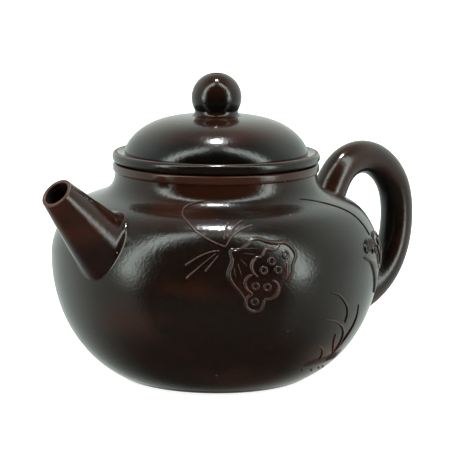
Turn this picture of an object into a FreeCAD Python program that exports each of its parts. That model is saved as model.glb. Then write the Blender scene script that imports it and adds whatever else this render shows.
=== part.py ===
"""A small purple-clay teapot, built as a potter builds it: separate clay pieces luted together.

Frame: millimetres, +Z up along the pot's axis, origin at the middle of the ring it stands on.
The handle points along +X, the spout along -X, and the decorated side faces -Y.
A bearing is the angle round the pot in degrees, from +X towards +Y.
"""
import FreeCAD, Part
import math
import os

Vector = FreeCAD.Vector

# --- Belly, shoulder and neck -------------------------------------------------------------
BELLY_R = 50.0              # widest radius
BELLY_Z = 38.0              # height of the widest ring
FOOT_R = 26.4               # radius where the wall meets the table
LOWER_POWER = 2.78          # fullness of the lower half
UPPER_RISE = 30.5           # vertical half-axis of the ellipse above the widest ring
FLARE_START_Z = 50.5        # where the ellipse hands over to the concave flare
FLARE_HANDLE = 8.9          # length of the flare curve's end tangents
LIP_R = 31.3
LIP_OVERHANG = 0.6          # how far the lip stands out past the neck
NECK_R = LIP_R - LIP_OVERHANG
NECK_TOP_Z = 63.2
SHOULDER_JOIN_Z = 55.4      # joint between the wall and the shoulder disc
NECK_JOIN_Z = 59.4          # joint between the shoulder disc and the neck ring
WALL = 2.8
FLOOR = 3.2
BASE_DISC_R = 22.5
BASE_HOLLOW = 0.8           # how far the base is pressed in at its middle

# --- Mouth lip and lid --------------------------------------------------------------------
LIP_H = 2.8
LIP_WIDTH = 4.3
MOUTH_R = LIP_R - LIP_WIDTH
LID_GAP = 0.4               # radial clearance of the lid's locking ring in the mouth
LID_OVERHANG = 0.2          # how far the lid stands out past the lip
LID_RIM_R = LIP_R + LID_OVERHANG
LID_RIM_H = 3.3
FLANGE_WALL = 2.2
FLANGE_DEPTH = 8.5
DOME_STEP = 3.7             # width of the rim left outside the dome
DOME_R = LID_RIM_R - DOME_STEP
DOME_H = 11.0
DOME_WALL = 2.6
DOME_R_POWER = 3.35
DOME_Z_POWER = 1.445
COLLAR_R = 8.6
COLLAR_TOP_R = 6.5
COLLAR_TOP_RISE = 1.4       # collar's top above the dome's crown
KNOB_R = 7.6
VENT_R = 1.55

# --- Spout and its strainer ---------------------------------------------------------------
SPOUT_ROOT_Z = 47.6         # where the spout's axis leaves the wall
SPOUT_ANGLE = 43.8          # rise of the axis, degrees
SPOUT_LENGTH = 21.9
SPOUT_TIP_R = 4.95
SPOUT_ROOT_R = 9.1
ROOT_FLARE = 0.8            # extra radius of the spout under its root
SPOUT_BORE_TIP_R = 3.8
SPOUT_BORE_ROOT_R = 5.6
STRAINER_R = 7.2
STRAINER_WALL = 1.3
STRAINER_HOLE_R = 0.75

# --- Handle: the centre line's distance out from the widest radius, and its heights -------
HANDLE_REACH = 32.9
HANDLE_TOP_Z = 61.8
HANDLE_WIDEST_Z = 41.5
HANDLE_UPPER_ROOT_Z = 47.0
HANDLE_LOWER_ROOT_Z = 12.6
HANDLE_R = 5.3
HANDLE_LOWER_R = 4.2
HANDLE_UPPER_ROOT_R = 6.2

# --- Relief -------------------------------------------------------------------------------
PLATE_H = 0.35              # thickness of the flat appliqués
CORD_H = 0.45               # height of the cords laid on a plate
THREAD_H = 0.55             # height of the threads laid straight on the wall

RING_SEGMENT = 2.0 * math.pi
BIG = 400.0


def belly_radius(z):
    """Outer radius of the wall at height z."""
    if z <= BELLY_Z:
        fall = ((BELLY_Z - z) / BELLY_Z) ** 2
        share = 1.0 - (1.0 - (FOOT_R / BELLY_R) ** LOWER_POWER) * fall
        return BELLY_R * share ** (1.0 / LOWER_POWER)
    if z <= FLARE_START_Z:
        return BELLY_R * math.sqrt(1.0 - ((z - BELLY_Z) / UPPER_RISE) ** 2)
    flare = Part.BezierCurve()
    flare.setPoles(flare_poles(0))
    level = Part.Line(Vector(0, 0, z), Vector(BELLY_R, 0, z)).toShape(0, BELLY_R)
    return flare.toShape().distToShape(level)[1][0][0].x


def flare_poles(inset):
    """Control points of the concave curve from the belly up into the neck, drawn in by inset."""
    widest = BELLY_R - inset
    rise = UPPER_RISE - inset
    neck = NECK_R - inset
    turn = math.asin((FLARE_START_Z - BELLY_Z) / rise)
    start = Vector(widest * math.cos(turn), 0, FLARE_START_Z)
    slope = Vector(-widest * math.sin(turn), 0, rise * math.cos(turn)).normalize()
    return [start, start + slope * FLARE_HANDLE,
            Vector(neck, 0, NECK_TOP_Z - FLARE_HANDLE), Vector(neck, 0, NECK_TOP_Z)]


def spline(points):
    curve = Part.BSplineCurve()
    curve.interpolate(points)
    return curve.toShape()


def revolved(edges):
    """Solid of revolution about Z of a closed outline in the XZ plane."""
    face = Part.Face(Part.Wire(Part.__sortEdges__(edges)))
    return face.revolve(Vector(0, 0, 0), Vector(0, 0, 1), 360)


def line(r1, z1, r2, z2):
    return Part.makeLine(Vector(r1, 0, z1), Vector(r2, 0, z2))


def body_filled(inset, floor_z, floor_r):
    """The body's shape as a filled solid, drawn in by inset, standing on floor_z."""
    widest = BELLY_R - inset
    rise = UPPER_RISE - inset
    neck = NECK_R - inset
    steps = 10
    lower = []
    for i in range(steps + 1):
        z = floor_z + (BELLY_Z - floor_z) * i / steps
        fall = ((BELLY_Z - z) / (BELLY_Z - floor_z)) ** 2
        share = 1.0 - (1.0 - (floor_r / widest) ** LOWER_POWER) * fall
        lower.append(Vector(widest * share ** (1.0 / LOWER_POWER), 0, z))
    lower_curve = Part.BSplineCurve()
    lower_curve.interpolate(Points=lower, FinalTangent=Vector(0, 0, 1), InitialTangent=lower[1] - lower[0])

    turn = math.asin((FLARE_START_Z - BELLY_Z) / rise)
    upper = []
    for i in range(7):
        angle = turn * i / 6
        upper.append(Vector(widest * math.cos(angle), 0, BELLY_Z + rise * math.sin(angle)))
    poles = flare_poles(inset)
    upper_curve = Part.BSplineCurve()
    upper_curve.interpolate(Points=upper, InitialTangent=Vector(0, 0, 1),
                            FinalTangent=(poles[1] - poles[0]).normalize())

    flare = Part.BezierCurve()
    flare.setPoles(poles)
    edges = [line(0, floor_z, floor_r, floor_z), lower_curve.toShape(), upper_curve.toShape(),
             flare.toShape(), line(neck, NECK_TOP_Z, 0, NECK_TOP_Z), line(0, NECK_TOP_Z, 0, floor_z)]
    return revolved(edges)


def slab(z_low, z_high):
    return Part.makeBox(BIG, BIG, z_high - z_low, Vector(-BIG / 2, -BIG / 2, z_low))


def ring(r_in, r_out, z_low, z_high, round_low, round_high):
    """Flat ring whose outer edges are rounded with the two radii."""
    def corner(z, radius, side):
        mid = math.sqrt(0.5) * radius
        centre_z = z + side * radius
        return Part.Arc(Vector(r_out - radius, 0, z),
                        Vector(r_out - radius + mid, 0, centre_z - side * mid),
                        Vector(r_out, 0, centre_z)).toShape()
    edges = [line(r_in, z_low, r_out - round_low, z_low), corner(z_low, round_low, 1),
             line(r_out, z_low + round_low, r_out, z_high - round_high), corner(z_high, round_high, -1),
             line(r_out - round_high, z_high, r_in, z_high), line(r_in, z_high, r_in, z_low)]
    return revolved(edges)


# --- Directions of the spout --------------------------------------------------------------
SPOUT_RISE = math.radians(SPOUT_ANGLE)
SPOUT_AXIS = Vector(-math.cos(SPOUT_RISE), 0, math.sin(SPOUT_RISE))
SPOUT_ROOT = Vector(-belly_radius(SPOUT_ROOT_Z), 0, SPOUT_ROOT_Z)


def along_spout(shape):
    """Moves a shape made up the Z axis so that it stands on the spout's axis."""
    shape.Placement = FreeCAD.Placement(SPOUT_ROOT, FreeCAD.Rotation(Vector(0, 0, 1), SPOUT_AXIS))
    return shape


def make_spout(body):
    """Straight tapered tube, flared a little where it is luted to the wall."""
    under = 5.0
    taper = (SPOUT_ROOT_R - SPOUT_TIP_R) / SPOUT_LENGTH
    outer = [Vector(SPOUT_ROOT_R + taper * under + ROOT_FLARE, 0, -under),
             Vector(SPOUT_ROOT_R + taper + 0.1, 0, -1.0),
             Vector(SPOUT_ROOT_R - taper * 4.0, 0, 4.0),
             Vector((SPOUT_ROOT_R + SPOUT_TIP_R) / 2, 0, SPOUT_LENGTH / 2),
             Vector(SPOUT_TIP_R, 0, SPOUT_LENGTH)]
    edges = [spline(outer),
             line(SPOUT_TIP_R, SPOUT_LENGTH, SPOUT_BORE_TIP_R, SPOUT_LENGTH),
             line(SPOUT_BORE_TIP_R, SPOUT_LENGTH, SPOUT_BORE_ROOT_R, 0),
             line(SPOUT_BORE_ROOT_R, 0, SPOUT_BORE_ROOT_R, -under),
             line(SPOUT_BORE_ROOT_R, -under, outer[0].x, -under)]
    return along_spout(revolved(edges)).cut(body)


def make_strainer(cavity):
    """Pierced clay dome over the spout's hole, on the inside of the wall."""
    centre = SPOUT_ROOT - SPOUT_AXIS * WALL
    dome = Part.makeSphere(STRAINER_R, centre).cut(Part.makeSphere(STRAINER_R - STRAINER_WALL, centre))
    dome = dome.common(cavity)
    inward = SPOUT_AXIS * -1.0
    side = Vector(0, 1, 0)
    up = inward.cross(side)
    near = STRAINER_R - 1.5 * STRAINER_WALL
    tools = [Part.makeCylinder(STRAINER_HOLE_R, 2 * STRAINER_WALL, centre + inward * near, inward)]
    for tilt, count in ((26.0, 6), (50.0, 12)):
        for k in range(count):
            turn = RING_SEGMENT * k / count
            lean = side * math.cos(turn) + up * math.sin(turn)
            tilt_rad = math.radians(tilt)
            aim = inward * math.cos(tilt_rad) + lean * math.sin(tilt_rad)
            tools.append(Part.makeCylinder(STRAINER_HOLE_R, 2 * STRAINER_WALL, centre + aim * near, aim))
    return dome.cut(tools)


def handle_line():
    """Centre line of the handle and the clay's radius at each point."""
    upper_r = belly_radius(HANDLE_UPPER_ROOT_Z)
    lower_r = belly_radius(HANDLE_LOWER_ROOT_Z)
    reach = BELLY_R + HANDLE_REACH
    widest = HANDLE_WIDEST_Z
    return [((upper_r - 5.0, HANDLE_UPPER_ROOT_Z - 5.6), HANDLE_UPPER_ROOT_R + 0.6),
            ((upper_r, HANDLE_UPPER_ROOT_Z), HANDLE_UPPER_ROOT_R),
            ((BELLY_R + 1.1, HANDLE_TOP_Z - 8.4), HANDLE_R + 0.2),
            ((BELLY_R + 5.7, HANDLE_TOP_Z - 2.8), HANDLE_R),
            ((BELLY_R + 14.4, HANDLE_TOP_Z), HANDLE_R),
            ((BELLY_R + 24.6, HANDLE_TOP_Z - 3.4), HANDLE_R),
            ((reach - 2.0, widest + 9.6), HANDLE_R),
            ((reach, widest), HANDLE_R),
            ((reach - 1.2, widest - 9.0), HANDLE_R),
            ((reach - 5.4, widest - 17.2), HANDLE_R - 0.1),
            ((reach - 13.9, (widest + HANDLE_LOWER_ROOT_Z) / 2 - 9.6), HANDLE_R - 0.4),
            ((lower_r + 13.0, HANDLE_LOWER_ROOT_Z + 0.9), HANDLE_LOWER_R + 0.3),
            ((lower_r, HANDLE_LOWER_ROOT_Z), HANDLE_LOWER_R),
            ((lower_r - 7.0, HANDLE_LOWER_ROOT_Z + 0.2), HANDLE_LOWER_R)]


def make_handle(body):
    """Round bow of clay, thinner at its lower end, lofted through rings square to its line."""
    stations = handle_line()
    path = Part.BSplineCurve()
    path.interpolate([Vector(point[0], 0, point[1]) for point, radius in stations])
    rings = []
    for (x, z), radius in stations:
        parameter = path.parameter(Vector(x, 0, z))
        tangent = path.tangent(parameter)[0]
        circle = Part.Circle(Vector(x, 0, z), tangent, radius)
        circle = circle.toShape()
        rings.append(Part.Wire(circle))
    return Part.makeLoft(rings, True, False).cut(body)


# --- Lid ----------------------------------------------------------------------------------
SEAT_Z = NECK_TOP_Z + LIP_H
RIM_TOP_Z = SEAT_Z + LID_RIM_H
CROWN_Z = RIM_TOP_Z + DOME_H
FLANGE_R = MOUTH_R - LID_GAP
COLLAR_TOP_Z = CROWN_Z + COLLAR_TOP_RISE
KNOB_Z = COLLAR_TOP_Z + math.sqrt(KNOB_R ** 2 - COLLAR_TOP_R ** 2)


def dome_z(r):
    """Height of the dome's outer surface at radius r."""
    return RIM_TOP_Z + DOME_H * (1.0 - (r / DOME_R) ** DOME_R_POWER) ** (1.0 / DOME_Z_POWER)


def dome_filled(inset):
    """The lid's dome as a filled solid, drawn in by inset."""
    radius = DOME_R - inset
    height = DOME_H - inset
    steps = 14
    points = []
    for i in range(steps + 1):
        share = math.cos(math.pi / 2 * i / steps)
        rise = height * (1.0 - share ** DOME_R_POWER) ** (1.0 / DOME_Z_POWER)
        points.append(Vector(radius * share, 0, RIM_TOP_Z + rise))
    points[-1] = Vector(0, 0, RIM_TOP_Z + height)
    crown = Part.BSplineCurve()
    crown.interpolate(Points=points, InitialTangent=Vector(0, 0, 1), FinalTangent=Vector(-1, 0, 0))
    return revolved([crown.toShape(), line(0, RIM_TOP_Z + height, 0, RIM_TOP_Z),
                     line(0, RIM_TOP_Z, radius, RIM_TOP_Z)])


def vent():
    return Part.makeCylinder(VENT_R, BIG, Vector(0, 0, SEAT_Z))


def make_collar():
    """Small flared pad of clay between the dome and the knob."""
    low_z = CROWN_Z - 2.0
    foot_z = dome_z(COLLAR_R)
    curve = spline([Vector(COLLAR_R, 0, foot_z), Vector(COLLAR_TOP_R + 0.8, 0, CROWN_Z + 0.25),
                    Vector(COLLAR_TOP_R, 0, COLLAR_TOP_Z)])
    pad = revolved([line(0, low_z, COLLAR_R, low_z), line(COLLAR_R, low_z, COLLAR_R, foot_z), curve,
                    line(COLLAR_TOP_R, COLLAR_TOP_Z, 0, COLLAR_TOP_Z), line(0, COLLAR_TOP_Z, 0, low_z)])
    return pad.cut(dome_filled(0)).cut(vent())


def make_knob():
    ball = Part.makeSphere(KNOB_R, Vector(0, 0, KNOB_Z))
    return ball.common(slab(COLLAR_TOP_Z, COLLAR_TOP_Z + 3 * KNOB_R)).cut(vent())


# --- Relief on the -Y side ----------------------------------------------------------------
def on_plane(bearing, z, middle):
    """A wall point, as seen square-on from the bearing called middle."""
    return belly_radius(z) * math.sin(math.radians(bearing - middle)), z


def raised(face_points_wire, middle, skin):
    """Pushes a flat outline out through the wall and keeps what lies in the thin skin on it."""
    angle = math.radians(middle)
    outward = Vector(math.cos(angle), math.sin(angle), 0)
    face = Part.Face(face_points_wire)
    return face.extrude(outward * BELLY_R).common(skin)


def plane_point(u, z, middle):
    angle = math.radians(middle)
    start = 0.3 * BELLY_R
    return Vector(start * math.cos(angle) - u * math.sin(angle),
                  start * math.sin(angle) + u * math.cos(angle), z)


def plate(outline, middle, skin):
    """Flat appliqué with a smooth closed outline of (bearing, height) points."""
    flat = [on_plane(bearing, z, middle) for bearing, z in outline]
    curve = Part.BSplineCurve()
    curve.interpolate(Points=[plane_point(u, z, middle) for u, z in flat], PeriodicFlag=True)
    return raised(Part.Wire([curve.toShape()]), middle, skin)


def cord(points, width, middle, skin, end_width=None):
    """Thread of clay along (bearing, height) points, as wide as width, or tapering to end_width."""
    if end_width is None:
        end_width = width
    flat = [on_plane(bearing, z, middle) for bearing, z in points]
    centre = Part.BSplineCurve()
    centre.interpolate([Vector(u, z, 0) for u, z in flat])
    first, last = centre.FirstParameter, centre.LastParameter
    steps = 4 * (len(points) - 1)
    left = []
    right = []
    for i in range(steps + 1):
        parameter = first + (last - first) * i / steps
        here = centre.value(parameter)
        ahead = centre.tangent(parameter)[0]
        half = (width + (end_width - width) * i / steps) / 2
        left.append((here.x - ahead.y * half, here.y + ahead.x * half))
        right.append((here.x + ahead.y * half, here.y - ahead.x * half))
    outline = [plane_point(u, z, middle) for u, z in left + right[::-1]]
    return raised(Part.makePolygon(outline + outline[:1]), middle, skin)


def disc(bearing, z, radius, hole, middle, skin):
    """Small round pad, or a ring when it has a hole."""
    u, z = on_plane(bearing, z, middle)
    angle = math.radians(middle)
    outward = Vector(math.cos(angle), math.sin(angle), 0)
    pad = Part.makeCylinder(radius, BELLY_R, plane_point(u, z, middle), outward)
    if hole:
        pad = pad.cut(Part.makeCylinder(hole, BELLY_R, plane_point(u, z, middle), outward))
    return pad.common(skin)


MOTH = -118.0
MOTH_OUTLINE = [(-128.8, 47.2), (-121.5, 49.8), (-117.0, 50.0), (-113.0, 49.0), (-109.5, 49.0),
                (-106.3, 47.6), (-105.3, 44.8), (-106.9, 42.2), (-107.8, 39.0), (-110.6, 37.0),
                (-113.0, 35.0), (-117.0, 32.4), (-119.0, 29.6), (-122.3, 29.2), (-124.3, 32.6),
                (-126.8, 36.0), (-129.6, 40.0), (-129.0, 44.4)]
MOTH_SCALLOP = [(-111.7, 47.4), (-114.0, 46.3), (-117.0, 47.0), (-118.6, 44.9), (-121.4, 44.6),
                (-122.2, 42.4), (-121.0, 40.0), (-123.6, 38.6), (-124.2, 36.6), (-122.4, 35.0),
                (-123.4, 32.6), (-121.8, 30.4), (-119.7, 30.4), (-118.0, 33.0), (-115.4, 34.3),
                (-113.2, 36.4), (-114.6, 38.4)]
MOTH_RINGS = [(-109.7, 45.3), (-115.1, 43.9), (-118.3, 41.5), (-112.6, 41.5), (-120.9, 37.1),
              (-117.2, 36.8), (-121.0, 32.9)]
MOTH_VEINS = [[(-126.6, 46.4), (-121.4, 47.2)], [(-126.8, 45.0), (-123.9, 41.4)],
              [(-127.6, 43.8), (-126.4, 39.2)]]
LONG_FEELER = [(-131.6, 48.2), (-137.4, 50.3), (-144.7, 53.8), (-149.2, 56.2), (-147.6, 57.8),
               (-140.2, 58.8)]
SHORT_FEELERS = [[(-131.4, 49.9), (-130.8, 51.9), (-128.9, 54.0)],
                 [(-129.3, 50.9), (-127.0, 52.8), (-123.3, 54.2)],
                 [(-129.2, 49.0), (-125.8, 51.3), (-119.8, 53.2)]]
TAIL_THREADS = [[(-133.6, 47.0), (-138.6, 45.6), (-144.0, 42.7)],
                [(-135.2, 45.5), (-139.2, 43.2), (-143.6, 39.2)],
                [(-133.3, 45.4), (-135.5, 43.3), (-137.6, 41.3)]]

SIDE_MOTH = -66.0
SIDE_THREAD = [(-84.0, 58.0), (-71.2, 56.2), (-65.8, 54.0), (-62.8, 50.8), (-61.6, 46.8)]
SIDE_CREST = [(-66.0, 45.9), (-62.8, 45.2), (-61.0, 43.6), (-64.4, 42.9), (-67.4, 42.0), (-70.0, 42.6),
              (-69.6, 44.4)]
SIDE_BODY = [(-72.6, 41.0), (-67.6, 40.6), (-62.4, 39.4), (-58.6, 36.4), (-57.0, 32.6), (-56.2, 28.0),
             (-58.6, 28.8), (-61.8, 33.4), (-65.4, 37.0)]
SIDE_WING = [(-58.4, 45.6), (-54.0, 46.4), (-49.6, 43.0), (-49.0, 38.2), (-52.4, 34.6), (-55.8, 36.4),
             (-57.8, 40.6)]

REED_SIDE = -80.0
REED_BLADES = [[(-91.4, 33.0), (-88.0, 32.0), (-83.4, 29.2), (-80.4, 25.6), (-80.0, 22.0)],
               [(-91.9, 24.8), (-87.0, 23.6), (-80.6, 20.8), (-77.4, 17.2), (-76.8, 12.6)],
               [(-73.3, 27.0), (-71.8, 23.6), (-71.8, 20.2), (-73.0, 17.6), (-74.6, 15.2)],
               [(-91.3, 16.6), (-87.6, 15.0), (-84.6, 12.6)]]
TUFT_COUNT = 12
TUFT_FIRST = (-91.0, 9.4)
TUFT_STEP = 1.9
SEEDS = [(-91.7, 7.8), (-84.0, 7.0), (-77.8, 6.9), (-73.6, 6.8)]


def grass(skin):
    """A row of short leaning blades along the ground under the reeds."""
    blades = []
    for k in range(TUFT_COUNT):
        bearing = TUFT_FIRST[0] + TUFT_STEP * k
        height = 1.6 + 0.3 * (k % 3)
        root = (bearing, TUFT_FIRST[1])
        tip = (bearing + 0.6 + 0.5 * (k % 2), TUFT_FIRST[1] + height)
        blades.append(cord([root, tip], 0.45, REED_SIDE, skin, 0.25))
    return blades


def build():
    body = body_filled(0, 0, FOOT_R)
    cavity_floor_r = belly_radius(FLOOR) - 1.5 * WALL
    cavity = body_filled(WALL, FLOOR, cavity_floor_r)
    shell = body.cut(cavity)
    base_core = Part.makeCylinder(BASE_DISC_R, FLOOR)
    press_r = (BASE_DISC_R ** 2 + BASE_HOLLOW ** 2) / (2 * BASE_HOLLOW)
    press = Part.makeSphere(press_r, Vector(0, 0, BASE_HOLLOW - press_r))
    spout_hole = Part.makeCylinder(SPOUT_BORE_ROOT_R, 6 * WALL, SPOUT_ROOT + SPOUT_AXIS * 3 * WALL,
                                   SPOUT_AXIS * -1.0)

    plate_skin = body_filled(-PLATE_H, 0, FOOT_R + PLATE_H)
    cord_skin = body_filled(-PLATE_H - CORD_H, 0, FOOT_R + PLATE_H + CORD_H).cut(plate_skin)
    thread_skin = body_filled(-THREAD_H, 0, FOOT_R + THREAD_H).cut(body)
    plate_skin = plate_skin.cut(body)
    reeds = [cord(reed, 0.5, REED_SIDE, thread_skin, 1.0) for reed in REED_BLADES]

    nodes = {
        "base_disc": shell.common(base_core).cut(press),
        "body_wall": shell.cut(base_core).common(slab(0, BELLY_Z)),
        "upper_wall": shell.common(slab(BELLY_Z, SHOULDER_JOIN_Z)).cut(spout_hole),
        "shoulder_disc": shell.common(slab(SHOULDER_JOIN_Z, NECK_JOIN_Z)),
        "neck_ring": shell.common(slab(NECK_JOIN_Z, NECK_TOP_Z)),
        "mouth_lip": ring(MOUTH_R, LIP_R, NECK_TOP_Z, SEAT_Z, 0.9, 0.7),
        "spout": make_spout(body),
        "spout_strainer": make_strainer(cavity),
        "handle": make_handle(body),
        "lid_rim": ring(FLANGE_R - FLANGE_WALL, LID_RIM_R, SEAT_Z, RIM_TOP_Z, 0.8, 1.3),
        "lid_flange": ring(FLANGE_R - FLANGE_WALL, FLANGE_R, SEAT_Z - FLANGE_DEPTH, SEAT_Z, 0.5, 0.2),
        "lid_dome": dome_filled(0).cut(dome_filled(DOME_WALL)).cut(vent()),
        "knob_collar": make_collar(),
        "knob": make_knob(),
        "moth_wing_plate": plate(MOTH_OUTLINE, MOTH, plate_skin),
        "moth_scallop_cord": cord(MOTH_SCALLOP, 0.9, MOTH, cord_skin),
        "moth_rings": [disc(b, z, 1.25, 0.6, MOTH, cord_skin) for b, z in MOTH_RINGS],
        "moth_veins": [cord(vein, 0.7, MOTH, cord_skin, 0.4) for vein in MOTH_VEINS],
        "moth_long_feeler": cord(LONG_FEELER, 0.7, -134.0, thread_skin),
        "moth_short_feelers": [cord(f, 0.6, -125.0, thread_skin, 0.9) for f in SHORT_FEELERS],
        "moth_tail_threads": [cord(t, 0.6, -134.0, thread_skin, 1.1) for t in TAIL_THREADS],
        "side_moth_thread": cord(SIDE_THREAD, 0.6, -72.0, thread_skin),
        "side_moth_crest": plate(SIDE_CREST, SIDE_MOTH, thread_skin),
        "side_moth_body": plate(SIDE_BODY, SIDE_MOTH, thread_skin),
        "side_moth_wing": plate(SIDE_WING, SIDE_MOTH + 8.0, thread_skin),
        "reed_blades": reeds,
        "grass_tufts": grass(thread_skin.cut(Part.makeCompound(reeds))),
        "seed_dots": [disc(b, z, 0.6, 0, REED_SIDE, thread_skin) for b, z in SEEDS],
    }
    return nodes


def main():
    os.makedirs("parts", exist_ok=True)
    for name, shape in build().items():
        if isinstance(shape, list):
            solids = [solid for piece in shape for solid in piece.Solids]
        else:
            solids = shape.Solids
        out = solids[0] if len(solids) == 1 else Part.makeCompound(solids)
        out.exportStep("parts/" + name + ".step")
        print(name, len(solids), round(out.Volume, 2), out.isValid())


main()
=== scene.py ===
import bisect
from math import acos, asin, atan2, cos, degrees, dist, exp, hypot, pi, radians, sin, sqrt

import bmesh
import bpy
import numpy as np
from mathutils import Matrix, Vector
from mathutils.kdtree import KDTree


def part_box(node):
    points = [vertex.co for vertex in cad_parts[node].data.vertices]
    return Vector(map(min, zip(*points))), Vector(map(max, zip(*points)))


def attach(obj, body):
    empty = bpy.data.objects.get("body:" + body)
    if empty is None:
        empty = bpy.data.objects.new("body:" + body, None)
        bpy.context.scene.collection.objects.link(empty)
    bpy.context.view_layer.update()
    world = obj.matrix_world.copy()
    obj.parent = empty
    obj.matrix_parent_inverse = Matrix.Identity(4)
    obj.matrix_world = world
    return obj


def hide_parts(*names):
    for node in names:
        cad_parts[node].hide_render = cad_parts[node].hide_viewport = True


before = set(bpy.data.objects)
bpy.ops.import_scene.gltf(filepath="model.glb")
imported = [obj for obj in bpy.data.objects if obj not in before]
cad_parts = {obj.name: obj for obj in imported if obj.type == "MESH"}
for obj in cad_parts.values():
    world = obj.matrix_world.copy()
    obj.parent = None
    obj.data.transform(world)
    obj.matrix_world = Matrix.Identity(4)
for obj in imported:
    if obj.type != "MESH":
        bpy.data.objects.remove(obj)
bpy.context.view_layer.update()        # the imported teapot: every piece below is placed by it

# Lengths are millimetres until a mesh is made. The handle points along +X and the spout along -X.
# A bearing is the angle round the pot in degrees, from +X towards +Y; the relief is on the -Y side.
MM = 0.001


def span(node):
    """Radius, lowest and highest height of a round CAD node, in millimetres."""
    low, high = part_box(node)
    return high.y / MM, low.z / MM, high.z / MM


# --- Sizes taken from the frame -------------------------------------------------------------
BELLY_R, FOOT_Z, _ = span("body_wall")
NECK_TOP_Z = span("neck_ring")[2]
LIP_R, LIP_LOW_Z, SEAT_Z = span("mouth_lip")
BASE_DISC_R, _, FLOOR_Z = span("base_disc")
LID_RIM_R, _, RIM_TOP_Z = span("lid_rim")
FLANGE_R, FLANGE_LOW_Z, _ = span("lid_flange")
DOME_R, _, CROWN_Z = span("lid_dome")
COLLAR_R, _, COLLAR_TOP_Z = span("knob_collar")
KNOB_R = span("knob")[0]

# --- Body outline ---------------------------------------------------------------------------
BELLY_Z = 38.0
FOOT_R = 26.4
LOWER_POWER = 2.78
UPPER_RISE = 30.5
FLARE_START_Z = 50.5
FLARE_HANDLE = 8.9
NECK_R = 30.7
WALL = 2.8
BASE_HOLLOW = 0.8

# --- Mouth, lid and knob --------------------------------------------------------------------
MOUTH_R = 27.0
FLANGE_WALL = 2.2
DOME_WALL = 2.6
DOME_R_POWER = 3.35
DOME_Z_POWER = 1.445
COLLAR_NECK_R = 6.5
VENT_R = 1.55

# --- Spout ----------------------------------------------------------------------------------
SPOUT_ROOT_Z = 47.6
SPOUT_ANGLE = radians(43.8)
SPOUT_LENGTH = 21.9
SPOUT_TIP_R = 4.95
SPOUT_ROOT_R = 9.1
SPOUT_BORE_TIP_R = 3.8
SPOUT_BORE_ROOT_R = 5.6

# --- Handle: stations of (x, z, radius) along its centre line -------------------------------
HANDLE_STATIONS = [
    (BELLY_R - 8.0, 41.4, 6.8), (BELLY_R - 2.8, 47.0, 6.2), (BELLY_R + 1.1, 53.4, 5.5),
    (BELLY_R + 5.7, 59.0, 5.3), (BELLY_R + 14.4, 61.8, 5.3), (BELLY_R + 24.6, 58.4, 5.3),
    (BELLY_R + 30.9, 51.1, 5.3), (BELLY_R + 32.9, 41.5, 5.3), (BELLY_R + 31.7, 32.5, 5.3),
    (BELLY_R + 27.5, 24.3, 5.2), (BELLY_R + 19.0, 17.4, 4.9), (BELLY_R + 5.3, 13.5, 4.5),
    (BELLY_R - 7.6, 12.6, 4.2), (BELLY_R - 14.6, 12.8, 4.2),
]


# --- Curves ---------------------------------------------------------------------------------
def bezier(p0, p1, p2, p3, count):
    """Points of a cubic curve, first and last included."""
    points = []
    for i in range(count + 1):
        t = i / count
        u = 1.0 - t
        weights = (u ** 3, 3 * t * u * u, 3 * t * t * u, t ** 3)
        points.append(tuple(sum(w * p[k] for w, p in zip(weights, (p0, p1, p2, p3)))
                            for k in range(len(p0))))
    return points


def arc(centre_r, centre_z, radius, start, end, count):
    """Points of a round corner; angles in degrees from the outward radius."""
    points = []
    for i in range(count + 1):
        angle = radians(start + (end - start) * i / count)
        points.append((centre_r + radius * cos(angle), centre_z + radius * sin(angle)))
    return points


def smooth_path(points, count, closed=False):
    """A natural cubic spline through points of any dimension, sampled evenly along its chords."""
    given = np.array(points, float)
    wrap = 4
    if closed:
        given = np.vstack([given[-wrap:], given, given[:wrap + 1]])
    chords = np.linalg.norm(np.diff(given[:, :2], axis=0), axis=1)
    knots = np.concatenate([[0.0], np.cumsum(chords)])
    n = len(given)
    matrix = np.eye(n)
    right = np.zeros_like(given)
    for i in range(1, n - 1):
        before, after = chords[i - 1], chords[i]
        matrix[i, i - 1:i + 2] = (before, 2 * (before + after), after)
        right[i] = 6 * ((given[i + 1] - given[i]) / after - (given[i] - given[i - 1]) / before)
    bends = np.linalg.solve(matrix, right)
    low, high = (knots[wrap], knots[-wrap - 1]) if closed else (knots[0], knots[-1])
    wanted = np.linspace(low, high, count, endpoint=not closed)
    place = np.clip(np.searchsorted(knots, wanted, side="right") - 1, 0, n - 2)
    width = chords[place][:, None]
    a = ((knots[place + 1] - wanted) / chords[place])[:, None]
    b = 1.0 - a
    curve = a * given[place] + b * given[place + 1]
    return curve + ((a ** 3 - a) * bends[place] + (b ** 3 - b) * bends[place + 1]) * width ** 2 / 6


# --- The wall's surface ---------------------------------------------------------------------
def body_outline(inset, floor_z, floor_r, count):
    """(r, z) points from the floor up to the neck's top, drawn in by inset."""
    widest = BELLY_R - inset
    rise = UPPER_RISE - inset
    points = []
    for i in range(count):
        share = i / count
        z = floor_z + (BELLY_Z - floor_z) * sin(share * pi / 2)
        fall = ((BELLY_Z - z) / (BELLY_Z - floor_z)) ** 2
        full = 1.0 - (1.0 - (floor_r / widest) ** LOWER_POWER) * fall
        points.append((widest * full ** (1.0 / LOWER_POWER), z))
    turn = asin((FLARE_START_Z - BELLY_Z) / rise)
    for i in range(count // 2):
        angle = turn * 2 * i / count
        points.append((widest * cos(angle), BELLY_Z + rise * sin(angle)))
    top = (widest * cos(turn), FLARE_START_Z)
    along = Vector((-widest * sin(turn), rise * cos(turn))).normalized() * FLARE_HANDLE
    neck = NECK_R - inset
    points += bezier(top, (top[0] + along.x, top[1] + along.y), (neck, NECK_TOP_Z - FLARE_HANDLE),
                     (neck, NECK_TOP_Z), count // 2)
    return points


WALL_OUTLINE = body_outline(0, FOOT_Z, FOOT_R, 400)
WALL_HEIGHTS = [z for r, z in WALL_OUTLINE]


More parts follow.
